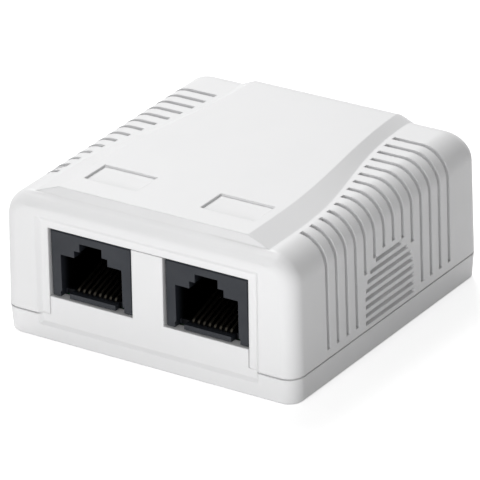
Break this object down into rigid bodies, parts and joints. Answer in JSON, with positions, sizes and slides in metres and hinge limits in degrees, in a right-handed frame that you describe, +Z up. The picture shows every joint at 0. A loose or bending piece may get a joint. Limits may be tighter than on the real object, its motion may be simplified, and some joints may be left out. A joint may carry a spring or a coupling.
{
  "type": "surface mount jack box",
  "caption": "Low square wall box with a clip-on cover, side-by-side modular jacks facing the front, a circuit board and punch-down blocks inside, and grooved sides with arched cable break-outs.",
  "frame": {"origin": "centre of the footprint, on the underside of the base", "axes": "+Z up out of the wall side, -Y the way the ports face, +X to the right when the ports are looked at"},
  "size_m": [0.0554, 0.0568, 0.0269],
  "materials": {
    "cover_plastic": "white, fine satin texture",
    "base_plastic": "white, fine satin texture",
    "board_laminate": "green solder mask on glass laminate",
    "screw_steel": "bright zinc plate",
    "jack_plastic": "black, satin",
    "insert_plastic": "black, satin",
    "contact_gold": "gold flash over nickel",
    "idc_tinned": "tin plated phosphor bronze",
    "block_plastic": "natural white, slight sheen"
  },
  "bodies": {
    "base_body": {"base": "base_plastic", "circuit_board": "board_laminate", "board_screws": "screw_steel", "left_jack_housing": "jack_plastic", "left_contact_insert": "insert_plastic", "left_contact_1": "contact_gold", "left_contact_2": "contact_gold", "left_contact_3": "contact_gold", "left_contact_4": "contact_gold", "left_contact_5": "contact_gold", "left_contact_6": "contact_gold", "left_contact_7": "contact_gold", "left_contact_8": "contact_gold", "left_idc_1": "idc_tinned", "left_idc_2": "idc_tinned", "left_idc_3": "idc_tinned", "left_idc_4": "idc_tinned", "left_idc_5": "idc_tinned", "left_idc_6": "idc_tinned", "left_idc_7": "idc_tinned", "left_idc_8": "idc_tinned", "left_outer_block": "block_plastic", "left_inner_block": "block_plastic", "right_jack_housing": "jack_plastic", "right_contact_insert": "insert_plastic", "right_contact_1": "contact_gold", "right_contact_2": "contact_gold", "right_contact_3": "contact_gold", "right_contact_4": "contact_gold", "right_contact_5": "contact_gold", "right_contact_6": "contact_gold", "right_contact_7": "contact_gold", "right_contact_8": "contact_gold", "right_idc_1": "idc_tinned", "right_idc_2": "idc_tinned", "right_idc_3": "idc_tinned", "right_idc_4": "idc_tinned", "right_idc_5": "idc_tinned", "right_idc_6": "idc_tinned", "right_idc_7": "idc_tinned", "right_idc_8": "idc_tinned", "right_outer_block": "block_plastic", "right_inner_block": "block_plastic"},
    "cover_body": {"cover": "cover_plastic"}
  },
  "joints": [
    {"name": "cover_lift", "type": "slide", "parent": "base_body", "child": "cover_body", "axis": [0, 0, 1], "range_m": [0, 0.03]}
  ]
}
